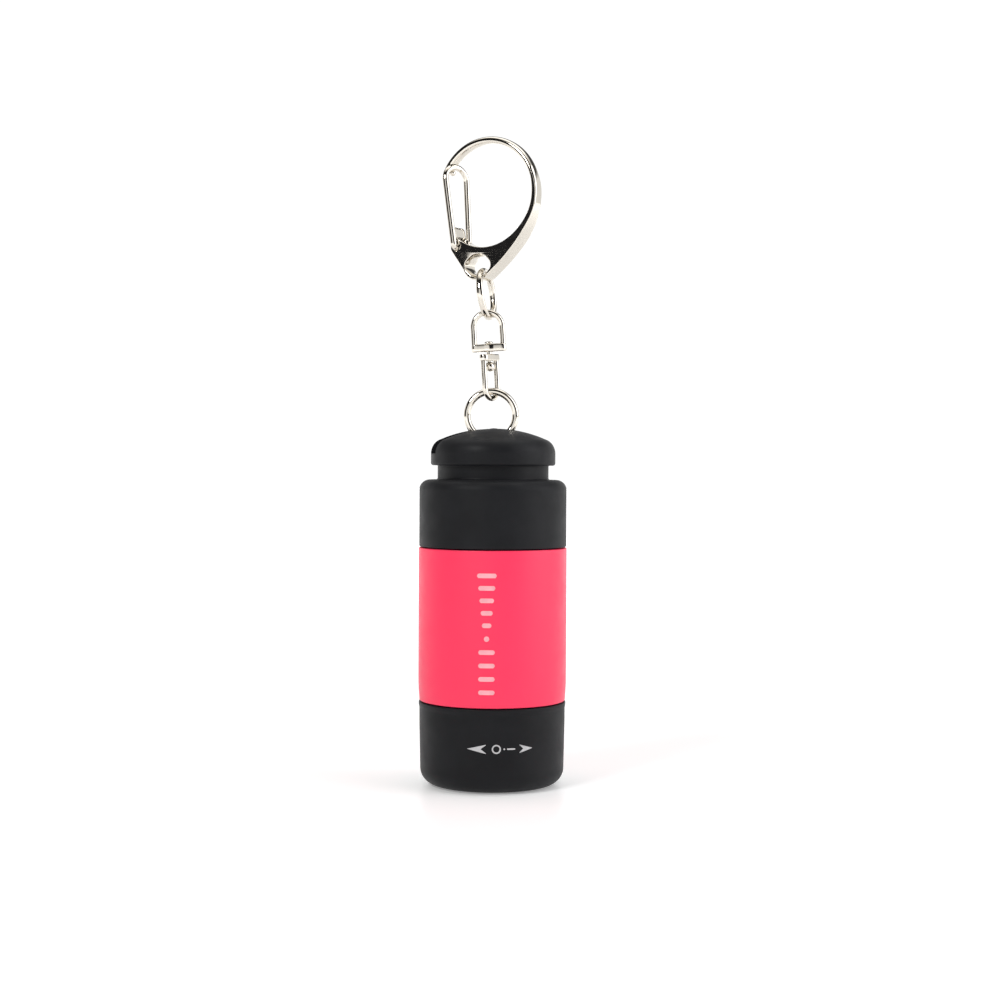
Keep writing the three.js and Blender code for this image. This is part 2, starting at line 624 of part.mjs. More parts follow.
function hookBody(gate) {
  const depth = 2 * HOOK_THICK;
  const plate = new THREE.ExtrudeGeometry(hookOutline(), { depth, bevelEnabled: false, curveSegments: 22 });
  const [thick, thin] = [HOOK_THICK / 2, HOOK_THIN / 2];
  const taper = new THREE.Shape(
    [[-thick, -16], [thick, -16], [thick, -8], [thin, -1], [thin, 12], [-thin, 12], [-thin, -1], [-thick, -8]]
      .map(([w, v]) => new THREE.Vector2(w, v)),
  );
  const span = 40;
  const wedge = new THREE.ExtrudeGeometry(taper, { depth: span, bevelEnabled: false });
  wedge.translate(0, 0, -span / 2).rotateY(Math.PI / 2);
  const body = common(plate.translate(0, 0, -depth / 2), wedge);

  const eyeCutter = (halfWidth, frontFlare, backFlare, from, to) => {
    const [back, front] = [1 + backFlare / EYE.halfHeight, 1 + frontFlare / EYE.halfHeight];
    return turned([[0, from], [back, from], [front, to], [0, to]])
      .scale(halfWidth, EYE.halfHeight, 1)
      .translate(EYE.u, EYE.v, 0);
  };
  const flare = 0.58; // the eye widens by this much, up and down, towards both faces
  const mouthHalfWidth = 1.78; // narrow enough that the flare stays clear of the foot's sides
  const pivotHole = new THREE.CylinderGeometry(0.6, 0.6, depth, WIRE_SIDES)
    .rotateX(Math.PI / 2)
    .translate(PIVOT.u, PIVOT.v, 0);

  const ball = new THREE.SphereGeometry(PEG.r, TINY_SIDES, 8).translate(PEG.u, PEG.v, 0);
  const nose = new THREE.Vector3(
    (HOOK_RIM_R - 0.55) * Math.cos(rad(NOSE_ANGLE - 2)),
    (HOOK_RIM_R - 0.55) * Math.sin(rad(NOSE_ANGLE - 2)),
    0,
  );
  const stalk = wire(new THREE.LineCurve3(nose, new THREE.Vector3(PEG.u, PEG.v, 0)), 0.34, 1);
  const shaped = cut(
    body,
    eyeCutter(EYE.halfWidth, 0, 0, -depth, depth),
    eyeCutter(mouthHalfWidth, flare, 0, 0.7, HOOK_THICK / 2 + 0.01),
    eyeCutter(mouthHalfWidth, 0, flare, -HOOK_THICK / 2 - 0.01, -0.7),
    pivotHole,
    wire(gate, GATE_WIRE_R + 0.12, 44),
  );
  return join(shaped, stalk, ball);
}

function buildHook() {
  const hang = linkTop();
  const turn = rad(HOOK_TURN);
  const eyeFloor = EYE.v - EYE.halfHeight;
  const x = hang.x - LINK_IN_EYE * Math.cos(turn);
  const y = LINK_IN_EYE * Math.sin(turn);
  const z = hang.z - LINK_WIRE_R - EYE_PLAY - eyeFloor;
  const group = placed(x, y, z, 90, 0, -HOOK_TURN);
  const gate = new GateCurve();
  piece('hook_body', hookBody(gate), 'nickel', group);
  piece('hook_gate', wire(gate, GATE_WIRE_R, 64), 'nickel', group);
}

buildHead();
buildBody();
piece('cap_shell', capShell(), 'softTouch');
piece('key_ring', keyRing(), 'nickel');
buildSwivel();
buildLink();
buildHook();

export default flashlight;
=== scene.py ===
# Looks of the keychain flashlight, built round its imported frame. Lengths in the outlines are in
# millimetres, as on a drawing, and become metres when a mesh is made.

import json
import math

import bmesh
import bpy
from mathutils import Matrix, Vector


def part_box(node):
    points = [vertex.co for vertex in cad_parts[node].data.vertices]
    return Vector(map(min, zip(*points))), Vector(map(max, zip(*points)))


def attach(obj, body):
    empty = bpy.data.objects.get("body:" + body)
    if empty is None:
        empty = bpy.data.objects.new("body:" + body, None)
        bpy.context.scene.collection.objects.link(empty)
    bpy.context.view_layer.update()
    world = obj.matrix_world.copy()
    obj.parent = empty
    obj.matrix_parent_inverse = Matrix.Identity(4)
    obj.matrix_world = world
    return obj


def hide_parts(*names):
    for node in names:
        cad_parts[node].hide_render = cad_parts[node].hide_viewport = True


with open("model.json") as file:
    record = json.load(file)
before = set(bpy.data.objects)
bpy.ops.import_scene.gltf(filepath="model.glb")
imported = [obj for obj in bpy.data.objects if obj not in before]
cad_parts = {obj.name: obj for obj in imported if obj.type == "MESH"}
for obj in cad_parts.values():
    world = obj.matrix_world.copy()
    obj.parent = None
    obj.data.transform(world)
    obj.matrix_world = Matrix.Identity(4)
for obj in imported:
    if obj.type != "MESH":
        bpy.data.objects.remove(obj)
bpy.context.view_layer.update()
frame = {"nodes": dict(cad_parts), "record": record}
MM = 0.001

# ---------------------------------------------------------------- places that pieces share


def middle(node):
    """The middle of a CAD node's box, in millimetres."""
    low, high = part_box(node)
    return (low + high) / 2 / MM


def top(node):
    """The height of a CAD node's highest point, in millimetres."""
    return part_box(node)[1].z / MM


def bottom(node):
    """The height of a CAD node's lowest point, in millimetres."""
    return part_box(node)[0].z / MM


HEAD_TOP = top("head_shell")
SLEEVE_TOP = top("body_sleeve")
SLEEVE_BOTTOM = bottom("body_sleeve")
CAP_TOP = top("cap_shell")
CAP_BOTTOM = bottom("cap_shell")

# The ring stands on its bar, and the chain leans to the left above it.
RING = middle("key_ring")
RING_R = 3.92
RING_TOP = Vector((RING.x, 0, RING.z + RING_R))
CHAIN_LEAN = math.radians(3.6)
CHAIN_WIRE_R = 0.45
LOOP_TURN = math.radians(53)
BOW_TOP = 12.8
BOW_HALF_WIDTH = 2.33

# The link rests on the bow's wire, so its lowest point is below the top of the bow.
LINK_R = 3.9
LINK_DROP = 0.94
LINK_ASIDE = 0.3
LINK_LEAN = math.radians(7.3)
LINK_TURN = math.radians(75)

# The hook's flat frame has its origin in the middle of the hoop, with (u, v) across and up.
# The hoop starts and ends at angles in degrees.
HOOK_TURN = math.radians(31)
HOOK_ASIDE = 0.9
HOOK_ABOVE_LINK = 12.07
HOOP_R = 9.4
HOOP_INSIDE = (0.1, -0.15)
HOOP_INSIDE_R = 8.35
HOOP_START = 148
HOOP_END = -68
HOOP_RIM_STEPS = 71
HOOP_SIDE_STEPS = 18
HOOP_HALF_DEPTH = 1.025
FOOT_HALF_DEPTH = 1.65
PIVOT = (-5.1, -8.35)

# Edges sharper than these angles in degrees are shaded as edges.
SHARP_ANGLE = 38
HOOK_SHARP_ANGLE = 30


# ---------------------------------------------------------------- mesh helpers


def shade_smooth(bm, angle):
    """Smooth shading except at edges sharper than an angle in degrees."""
    for face in bm.faces:
        face.smooth = True
    for edge in bm.edges:
        edge.smooth = len(edge.link_faces) == 2 and edge.calc_face_angle(0) < math.radians(angle)


def finish_mesh(name, bm, angle=SHARP_ANGLE):
    """A new object from a bmesh in millimetres, smooth except at edges sharper than an angle."""
    bmesh.ops.remove_doubles(bm, verts=bm.verts, dist=1e-4)
    bmesh.ops.recalc_face_normals(bm, faces=bm.faces)
    shade_smooth(bm, angle)
    bmesh.ops.scale(bm, vec=(MM, MM, MM), verts=bm.verts)
    mesh = bpy.data.meshes.new(name)
    bm.to_mesh(mesh)
    bm.free()
    piece = bpy.data.objects.new(name, mesh)
    bpy.context.scene.collection.objects.link(piece)
    return piece


def arc(r, z, radius_r, radius_z, start, end, steps):
    """Points (radius, height) on an arc of an ellipse, between angles in degrees."""
    angles = [math.radians(start + (end - start) * i / steps) for i in range(steps + 1)]
    return [(r + radius_r * math.cos(a), z + radius_z * math.sin(a)) for a in angles]


def rounded(outline):
    """Rounds each corner of a closed outline whose point has a third value, its radius."""
    steps, longest_share = 5, 0.45
    points = []
    for i, here in enumerate(outline):
        if len(here) < 3:
            points.append(here)
            continue
        corner = Vector(here[:2])
        before = Vector(outline[i - 1][:2]) - corner
        after = Vector(outline[(i + 1) % len(outline)][:2]) - corner
        reach = min(here[2], before.length * longest_share, after.length * longest_share)
        a = corner + before.normalized() * reach
        b = corner + after.normalized() * reach
        for k in range(steps + 1):
            t = k / steps
            points.append(tuple((1 - t) ** 2 * a + 2 * t * (1 - t) * corner + t**2 * b))
    return points


def turned(name, outline, sides=144):
    """Turns a closed outline of (radius, height) about Z. A radius of 0 is on the axis."""
    bm = bmesh.new()
    rows = []
    for r, z in outline:
        if r < 1e-6:
            rows.append([bm.verts.new((0, 0, z))] * sides)
        else:
            steps = [2 * math.pi * i / sides for i in range(sides)]
            rows.append([bm.verts.new((r * math.cos(a), r * math.sin(a), z)) for a in steps])
    for k, row in enumerate(rows):
        following = rows[(k + 1) % len(rows)]
        for i in range(sides):
            j = (i + 1) % sides
            corners = list(dict.fromkeys([row[i], row[j], following[j], following[i]]))
            if len(corners) > 2:
                bm.faces.new(corners)
    return finish_mesh(name, bm)


def swept(bm, points, radius, sides, closed=False, squash=1.0, squash_axis=None):
    """A round wire along points, added to a bmesh. squash scales it along one direction."""
    count = len(points)
    rings = []
    normal = None
    for i, point in enumerate(points):
        ahead = points[(i + 1) % count] if closed or i + 1 < count else points[i]
        behind = points[i - 1] if closed or i else points[i]
        tangent = (ahead - behind).normalized()
        if normal is None:
            normal = tangent.orthogonal().normalized()
        normal = (normal - tangent * normal.dot(tangent)).normalized()
        side = tangent.cross(normal)
        ring = []
        for k in range(sides):
            a = 2 * math.pi * k / sides
            offset = radius * (math.cos(a) * normal + math.sin(a) * side)
            if squash_axis is not None:
                offset += (squash - 1) * offset.dot(squash_axis) * squash_axis
            ring.append(bm.verts.new(point + offset))
        rings.append(ring)
    spans = count if closed else count - 1
    for i in range(spans):
        here, there = rings[i], rings[(i + 1) % count]
        shift = 0
        if closed and i == count - 1:
            gaps = [(here[0].co - v.co).length for v in there]
            shift = gaps.index(min(gaps))
        for k in range(sides):
            m = (k + 1) % sides
            bm.faces.new((here[k], here[m], there[(m + shift) % sides], there[(k + shift) % sides]))
    if not closed:
        bm.faces.new(rings[0])
        bm.faces.new(list(reversed(rings[-1])))


def apply_modifiers(piece):
    """Replaces a piece's mesh with what its modifiers make of it."""
    depsgraph = bpy.context.evaluated_depsgraph_get()
    mesh = bpy.data.meshes.new_from_object(piece.evaluated_get(depsgraph))
    piece.modifiers.clear()
    piece.data = mesh


def boolean(piece, other, operation):
    """Joins or cuts a piece with another, and removes the other."""
    modifier = piece.modifiers.new(operation, "BOOLEAN")
    modifier.operation = operation
    modifier.object = other
    modifier.solver = "EXACT"
    apply_modifiers(piece)
    bpy.data.objects.remove(other)


def soften(piece, width, angle):
    """Rounds edges sharper than an angle by a width in millimetres, as moulding does."""
    bevel = piece.modifiers.new("edges", "BEVEL")
    bevel.width = width * MM
    bevel.segments = 3
    bevel.limit_method = "ANGLE"
    bevel.angle_limit = math.radians(angle)
    bevel.harden_normals = True
    apply_modifiers(piece)


def resharp(piece, angle=SHARP_ANGLE):
    """Cleans and shades a mesh that booleans made."""
    speck = 0.002 * MM
    bm = bmesh.new()
    bm.from_mesh(piece.data)
    bmesh.ops.remove_doubles(bm, verts=bm.verts, dist=speck)
    bmesh.ops.dissolve_degenerate(bm, dist=speck, edges=bm.edges)
    shade_smooth(bm, angle)
    bm.to_mesh(piece.data)
    bm.free()
    piece.modifiers.new("normals", "WEIGHTED_NORMAL").keep_sharp = True
    apply_modifiers(piece)


def slab(name, outline, hole, half_depth, bevel):
    """A bmesh of a plate in the XY plane with rounded edges, from closed outlines of (x, y)."""
    curve = bpy.data.curves.new(name, "CURVE")
    curve.dimensions = "2D"
    curve.fill_mode = "BOTH"
    curve.extrude = half_depth - bevel
    curve.bevel_depth = bevel
    curve.bevel_resolution = 3
    curve.offset = -bevel
    for loop in (outline, hole):
        spline = curve.splines.new("POLY")
        spline.points.add(len(loop) - 1)
        for point, (x, y) in zip(spline.points, loop):
            point.co = (x, y, 0, 1)
        spline.use_cyclic_u = True
    temporary = bpy.data.objects.new(name + "_curve", curve)
    bpy.context.scene.collection.objects.link(temporary)
    depsgraph = bpy.context.evaluated_depsgraph_get()
    mesh = bpy.data.meshes.new_from_object(temporary.evaluated_get(depsgraph))
    bpy.data.objects.remove(temporary)
    bm = bmesh.new()
    bm.from_mesh(mesh)
    bmesh.ops.remove_doubles(bm, verts=bm.verts, dist=1e-4)
    return bm


def dress(piece, body, slot, material, *nodes):
    """Gives a piece its material and its body, and hides the CAD nodes that it stands for. The slot is
    not used.
    """
    piece.data.materials.clear()
    piece.data.materials.append(material)
    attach(piece, body)
    if nodes:
        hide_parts(*nodes)
    return piece


# ---------------------------------------------------------------- material helpers

# The colour sockets of a mix node, which has other sockets of the same names.
MIX_A, MIX_B, MIX_RESULT = 6, 7, 2


class Nodes:
    """A material's node tree, with the few nodes that these finishes are made of."""

    def __init__(self, name):
        self.material = bpy.data.materials.new(name)
        self.material.use_nodes = True
        self.tree = self.material.node_tree
        self.shader = self.tree.nodes["Principled BSDF"]
        self.place = self.tree.nodes.new("ShaderNodeTexCoord").outputs["Object"]

    def link(self, source, target):
        self.tree.links.new(source, target)

    def noise(self, scale, detail=3.0, rough=0.55, stretch=None):
        """A noise value from 0 to 1. stretch scales the three axes before the lookup."""
        node = self.tree.nodes.new("ShaderNodeTexNoise")
        node.inputs["Scale"].default_value = scale
        node.inputs["Detail"].default_value = detail
        node.inputs["Roughness"].default_value = rough
        place = self.place
        if stretch:
            mapping = self.tree.nodes.new("ShaderNodeMapping")
            mapping.inputs["Scale"].default_value = stretch
            self.link(place, mapping.inputs["Vector"])
            place = mapping.outputs["Vector"]
        self.link(place, node.inputs["Vector"])
        return node.outputs["Fac"]

    def specks(self, scale):
        """The distance from the nearest of many scattered points."""
        node = self.tree.nodes.new("ShaderNodeTexVoronoi")
        node.inputs["Scale"].default_value = scale
        self.link(self.place, node.inputs["Vector"])
        return node.outputs["Distance"]

    def ramp(self, factor, low, high, colour_low, colour_high):
        """A colour that runs between two as a value runs from low to high."""
        node = self.tree.nodes.new("ShaderNodeValToRGB")
        first, last = node.color_ramp.elements
        first.position, last.position = low, high
        first.color = (*colour_low, 1)
        last.color = (*colour_high, 1)
        self.link(factor, node.inputs["Fac"])
        return node.outputs["Color"]

    def spread(self, factor, low, high, to_low, to_high):
        """A value that runs between two numbers as another runs from low to high."""
        node = self.tree.nodes.new("ShaderNodeMapRange")
        node.inputs["From Min"].default_value = low
        node.inputs["From Max"].default_value = high
        node.inputs["To Min"].default_value = to_low
        node.inputs["To Max"].default_value = to_high
        self.link(factor, node.inputs["Value"])
        return node.outputs["Result"]

    def multiply(self, first, second):
        """The product of two values."""
        node = self.tree.nodes.new("ShaderNodeMath")
        node.operation = "MULTIPLY"
        self.link(first, node.inputs[0])
        self.link(second, node.inputs[1])
        return node.outputs[0]

    def cover(self, factor, under, colour):
        """A colour laid over another one, as far as a factor says."""
        node = self.tree.nodes.new("ShaderNodeMix")
        node.data_type = "RGBA"
        self.link(factor, node.inputs["Factor"])
        self.link(under, node.inputs[MIX_A])
        node.inputs[MIX_B].default_value = (*colour, 1)
        return node.outputs[MIX_RESULT]

    def bump(self, height, strength, distance, after=None):
        """Surface relief whose depth is in millimetres, on top of an earlier one if given."""
        node = self.tree.nodes.new("ShaderNodeBump")
        node.inputs["Strength"].default_value = strength
        node.inputs["Distance"].default_value = distance * MM
        self.link(height, node.inputs["Height"])
        if after is not None:
            self.link(after, node.inputs["Normal"])
        self.link(node.outputs["Normal"], self.shader.inputs["Normal"])
        return node.outputs["Normal"]

    def set(self, **values):
        """Sets the shader's inputs. An underscore stands for a space in a name."""
        for key, value in values.items():
            self.shader.inputs[key.replace("_", " ")].default_value = value


def shade(colour, factor):
    """A colour made darker or lighter."""
    return tuple(min(1.0, c * factor) for c in colour)


def soft_touch():
    """Rubbery black paint: a fine eggshell grain, faint rubbed patches and a little dust."""
    n = Nodes("soft_touch_black")
    base, dust_grey = (0.0066, 0.0070, 0.0084), (0.09, 0.09, 0.09)
    patches = n.ramp(n.noise(160, 3), 0.35, 0.7, shade(base, 0.85), shade(base, 1.3))
    specks = n.spread(n.specks(900), 0.03, 0.075, 1.0, 0.0)
    seldom = n.spread(n.noise(420, 2), 0.66, 0.72, 0.0, 0.5)
    dusty = n.cover(n.multiply(specks, seldom), patches, dust_grey)
    n.link(dusty, n.shader.inputs["Base Color"])
    n.link(n.spread(n.noise(300, 4), 0.3, 0.7, 0.44, 0.56), n.shader.inputs["Roughness"])
    n.bump(n.noise(9000, 2), 0.16, 0.03)
    n.set(Specular_IOR_Level=0.16, Sheen_Weight=0.02, Sheen_Roughness=0.5)
    return n.material


def pink_shell():
    """Pink moulded plastic with a satin skin: slight flow shading and a very fine grain."""
    n = Nodes("pink_plastic")
    base = (0.97, 0.036, 0.108)
    streaks = n.noise(55, 2, stretch=(1, 1, 0.35))
    flow = n.ramp(streaks, 0.3, 0.75, shade(base, 0.965), shade(base, 1.03))
    n.link(flow, n.shader.inputs["Base Color"])
    n.link(n.spread(n.noise(500, 4), 0.3, 0.7, 0.36, 0.46), n.shader.inputs["Roughness"])
    n.bump(n.noise(7000, 2), 0.08, 0.02)
    n.set(Specular_IOR_Level=0.34, Subsurface_Weight=0.05, Subsurface_Scale=0.002)
    return n.material


def nickel(name="polished_nickel", dull=0.0):
    """Bright nickel plate: hairline polishing marks, soft waviness and a few dull touches."""
    n = Nodes(name)
    base = (0.70, 0.66, 0.59)
    tint = n.ramp(n.noise(260, 3), 0.3, 0.75, shade(base, 0.93), shade(base, 1.06))
    n.link(tint, n.shader.inputs["Base Color"])
    low, high = 0.05 + dull, 0.16 + dull
    n.link(n.spread(n.noise(700, 5, 0.6), 0.35, 0.8, low, high), n.shader.inputs["Roughness"])
    wavy = n.bump(n.noise(650, 1), 0.25, 0.02)
    n.bump(n.noise(2600, 3, stretch=(1, 1, 0.12)), 0.1, 0.01, wavy)
    n.set(Metallic=1.0)
    return n.material


def plain(name, base, roughness, bump_scale=2500, bump_strength=0.1, **values):
    """A simple finish with slight variation of colour, gloss and surface."""
    n = Nodes(name)
    colour = n.ramp(n.noise(bump_scale / 8, 3), 0.3, 0.75, shade(base, 0.88), shade(base, 1.1))
    n.link(colour, n.shader.inputs["Base Color"])
    gloss = n.spread(n.noise(bump_scale / 3, 4), 0.3, 0.7, roughness * 0.85, roughness * 1.2)
    n.link(gloss, n.shader.inputs["Roughness"])
    n.bump(n.noise(bump_scale, 2), bump_strength, 0.02)
    n.set(**values)
    return n.material


def clear_lens():
    """Clear plastic with slight variation of gloss and tint."""
    n = Nodes("clear_lens")
    n.link(n.spread(n.noise(400, 4), 0.4, 0.8, 0.02, 0.07), n.shader.inputs["Roughness"])
    tint = n.ramp(n.noise(200, 2), 0.3, 0.7, (0.95, 0.975, 0.98), (0.985, 0.995, 1.0))
    n.link(tint, n.shader.inputs["Base Color"])
    n.set(Transmission_Weight=1.0, IOR=1.49)
    return n.material


def all_materials():
    """Every finish by name."""
    return {
        "soft_black": soft_touch(),
        "pink_shell": pink_shell(),
        "polished_nickel": nickel(),
        "plug_nickel": nickel("plug_nickel", dull=0.12),
        "clear_lens": clear_lens(),
        "reflector_chrome": plain("reflector_chrome", (0.9, 0.9, 0.9), 0.06, 900, 0.15, Metallic=1.0),
        "black_rubber": plain("black_rubber", (0.02, 0.02, 0.02), 0.7, 4000, 0.25),
        "white_plastic": plain("white_plastic", (0.74, 0.73, 0.69), 0.38, 3000, 0.1),
        "board_green": plain("board_green", (0.012, 0.11, 0.035), 0.35, 1800, 0.2),
        "bare_aluminium": plain("bare_aluminium", (0.6, 0.61, 0.62), 0.35, 3500, 0.3, Metallic=1.0),
        "contact_brass": plain("contact_brass", (0.7, 0.5, 0.2), 0.25, 2500, 0.15, Metallic=1.0),
        "contact_gold": plain("contact_gold", (0.9, 0.64, 0.26), 0.18, 2500, 0.1, Metallic=1.0),
        "cell_wrap": plain("cell_wrap", (0.02, 0.13, 0.42), 0.3, 1200, 0.1),
        "phosphor": plain("phosphor", (0.88, 0.66, 0.08), 0.25, 2000, 0.05),
        "red_insulation": plain("red_insulation", (0.45, 0.02, 0.015), 0.45, 3000, 0.1),
        "black_insulation": plain("black_insulation", (0.012, 0.012, 0.012), 0.45, 3000, 0.1),
        "chip_black": plain("chip_black", (0.015, 0.015, 0.016), 0.4, 5000, 0.3),
        "indicator_red": plain("indicator_red", (0.6, 0.04, 0.03), 0.2, 2500, 0.05),
        "print_pink": plain("print_pink", (0.93, 0.40, 0.45), 0.5, 4000, 0.1),
        "print_grey": plain("print_grey", (0.52, 0.52, 0.53), 0.5, 4000, 0.1),
    }


# ---------------------------------------------------------------- torch


def head_shell():
    """The twist head: a shell round the lamp, with a rounded front edge and a slight rim."""
    outline = [
        (7.0, 1.2),
        (7.0, 0.7, 0.1),
        (7.6, 0, 0.25),
        *arc(8.95, 2.7, 2.72, 2.7, -90, 0, 20),
        (11.82, 10.5),
        (11.82, HEAD_TOP - 0.95, 0.4),
        (11.93, HEAD_TOP - 0.5, 0.3),
        (11.93, HEAD_TOP, 0.16),
        (10.35, HEAD_TOP, 0.1),
        (10.35, 4.4),
        (8.85, 4.4),
        (8.85, 1.2),
    ]
    return turned("torch_head", rounded(outline))


def front_lens():
    """The lens, with a flange that rests in the head."""
    flange = 8.7
    outline = [
        (0, 0.6),
        (6.75, 0.6, 0.25),
        (6.8, 1.9),
        (flange, 1.9, 0.1),
        (flange, 3.3, 0.1),
        (0, 3.3),
    ]
    return turned("lens", rounded(outline), 96)


def reflector():
    """A parabolic cup with a flat flange. Its rim and its neck are given on the inner face."""
    rim_r, rim_z, neck_r, neck_z = 7.6, 3.6, 2.4, 9.2
    flange_r, flange_bottom, flange_top = 8.7, 3.4, 4.0
    wall, steps = 0.75, 24
    spread = (rim_r**2 - neck_r**2) / (neck_z - rim_z)
    heights = [rim_z + (neck_z - rim_z) * i / steps for i in range(steps + 1)]
    inside = [(math.sqrt(neck_r**2 + spread * (neck_z - z)), z) for z in heights]
    outside = [(r + wall, z) for r, z in inside if z > flange_top]
    flange = [(rim_r, flange_bottom), (flange_r, flange_bottom), (flange_r, flange_top)]
    outline = [*flange, *outside, *reversed(inside)]
    return turned("reflector_cup", outline, 96)


def body_sleeve():
    """The coloured sleeve, slightly narrower at its front end."""
    bore = 10.7
    outline = [
        (bore, SLEEVE_BOTTOM + 0.24),
        (11.3, SLEEVE_BOTTOM, 0.1),
        (11.82, SLEEVE_BOTTOM, 0.16),
        (12.0, SLEEVE_BOTTOM + 2.6, 1.2),
        (12.03, SLEEVE_TOP, 0.18),
        (bore, SLEEVE_TOP),
    ]
    return turned("barrel_sleeve", rounded(outline))


def inner_chassis():
    """The tube inside, stepped for the sleeve, with a groove for each O-ring."""
    def groove(start, floor_r, outer_r):
        end = start + 1.1
        return [(outer_r, start), (floor_r, start, 0.1), (floor_r, end, 0.1), (outer_r, end)]

    step = SLEEVE_TOP - 0.1
    outline = [
        (8.2, 4.9),
        (9.7, 4.9),
        (10.1, 5.3),
        *groove(11.3, 9.35, 10.1),
        (10.1, 13.8),
        (10.6, 13.8),
        (10.6, step),
        (10.3, step),
        *groove(39.1, 9.4, 10.3),
        (10.3, 40.9, 0.35),
        (8.9, 40.9, 0.1),
        (8.9, 13.9),
        (8.2, 13.9),
    ]
    return turned("inner_tube", rounded(outline))


def o_ring(name, radius, height):
    """An O-ring, by the radius and the height of its wire's middle."""
    wire_r, sides = 0.44, 24
    last = 360 - 360 / sides
    return turned(name, arc(radius, height, wire_r, wire_r, 0, last, sides - 1))


def cap_shell():
    """The tail cap: barrel, neck and domed knob, with the slot and its bar for the key ring."""
    crown_r = 21.1

    def crown(r):
        return (r, CAP_TOP - crown_r + math.sqrt(crown_r**2 - r**2))

    outline = [
        (0, 52.4),
        (7.1, 52.4, 0.4),
        (7.1, 47.6),
        (10.2, 47.6, 0.3),
        (10.2, 42.0),
        (10.55, 41.5),
        (10.55, CAP_BOTTOM, 0.1),
        (11.96, CAP_BOTTOM, 0.16),
        *arc(10.26, 47.7, 1.7, 1.7, 0, 90, 14),
        (9.0, 49.4, 0.35),
        (9.0, 51.7, 0.15),
        *arc(9.7, 52.1, 0.4, 0.4, -90, 0, 8),
        *arc(7.9, 53.6, 2.2, 2.45, 0, 75, 16),
        *[crown(7.8 - 0.6 * i) for i in range(13)],
        (0, CAP_TOP),
    ]
    cap = turned("tail_cap", rounded(outline), 160)
    boolean(cap, cap_slot(), "DIFFERENCE")
    soften(cap, 0.16, 40)
    resharp(cap)
    return cap


def cap_slot():
    """The room that the slot takes out of the knob, round the bar that stays."""
    length, width, floor, ceiling = 30, 4.2, 53.6, 63.6
    bar_r, bar_height, bar_reach = 0.6, 57.15, 2.6
    slot_turn = math.radians(12)
    bm = bmesh.new()
    bmesh.ops.create_cube(bm, size=1)
    bmesh.ops.scale(bm, vec=(length, width, ceiling - floor), verts=bm.verts)
    bmesh.ops.translate(bm, vec=(0, 0, (floor + ceiling) / 2), verts=bm.verts)
    slot = finish_mesh("slot", bm)
    bm = bmesh.new()
    swept(bm, [Vector((0, y, bar_height)) for y in (-bar_reach, 0, bar_reach)], bar_r, 32)
    boolean(slot, finish_mesh("bar", bm), "DIFFERENCE")
    slot.data.transform(Matrix.Rotation(slot_turn, 4, "Z"))
    return slot


# ---------------------------------------------------------------- chain


def bow_points(half_width, bend, leg_end):
    """Points along a U in the XZ plane: a leg, a half circle beyond the bend, the other leg."""
    leg_steps, bend_steps = 6, 40
    away = 1 if bend > leg_end else -1
    leg = [leg_end + (bend - leg_end) * i / leg_steps for i in range(leg_steps)]
    points = [Vector((-half_width, 0, z)) for z in leg]
    for i in range(bend_steps + 1):
        a = math.pi * i / bend_steps
        points.append(Vector((-half_width * math.cos(a), 0, bend + away * half_width * math.sin(a))))
    points += [Vector((half_width, 0, z)) for z in reversed(leg)]
    return points


def capsule(half_length, half_depth):
    """A closed outline of a bar with round ends."""
    steps = 14
    reach = half_length - half_depth
    right = arc(reach, 0, half_depth, half_depth, -90, 90, steps)
    left = arc(-reach, 0, half_depth, half_depth, 90, 270, steps)
    return right + left


def stirrup(name, half_width, bend, strap_bottom, strap_height, outline, bevel):
    """A bent wire whose legs run into a rounded strap with the rivet's hole in it."""
    hole_r, hole_sides = 0.46, 24
    hole = arc(0, 0, hole_r, hole_r, 360, 360 / hole_sides, hole_sides - 1)
    strap_middle = strap_bottom + strap_height / 2
    bm = slab(name, outline, hole, strap_height / 2, bevel)
    bmesh.ops.translate(bm, vec=(0, 0, strap_middle), verts=bm.verts)
    strap = finish_mesh(name, bm)
    bm = bmesh.new()
    swept(bm, bow_points(half_width, bend, strap_middle), CHAIN_WIRE_R, 24)
    boolean(strap, finish_mesh(name + "_wire", bm), "UNION")
    resharp(strap)
    return strap


def hang(piece, place, lean):
    """Moves a piece modelled upright at the origin to its place on the chain, leaning left."""
    turn = Matrix.Rotation(-lean, 4, "Y")
    piece.data.transform(Matrix.Translation(place * MM) @ turn)
    return piece


def up_chain(height):
    """The point of the leaning chain that is a height above the top of the ring."""
    return RING_TOP + Vector((-height * math.sin(CHAIN_LEAN), 0, height * math.cos(CHAIN_LEAN)))


def circle(radius, turn):
    """Points of an upright circle whose plane is turned about Z from the front."""
    count = 96
    points = []
    for i in range(count):
        a = 2 * math.pi * i / count
        across = radius * math.cos(a)
        points.append(Vector((across * math.cos(turn), across * math.sin(turn), radius * math.sin(a))))
    return points


def key_ring():
    """The ring on the cap's bar."""
    wire_r = 0.57
    bm = bmesh.new()
    swept(bm, [RING + p for p in circle(RING_R, 0)], wire_r, 24, closed=True)
    return finish_mesh("split_ring", bm)


def swivel_loop():
    """The swivel's lower part, whose bend hangs on the ring."""
    strap = capsule(2.18, 0.75)
    piece = stirrup("swivel_lower_loop", 1.65, 0.49, 4.95, 1.05, strap, 0.2)
    piece.data.transform(Matrix.Rotation(LOOP_TURN, 4, "Z"))
    return hang(piece, RING_TOP, CHAIN_LEAN)


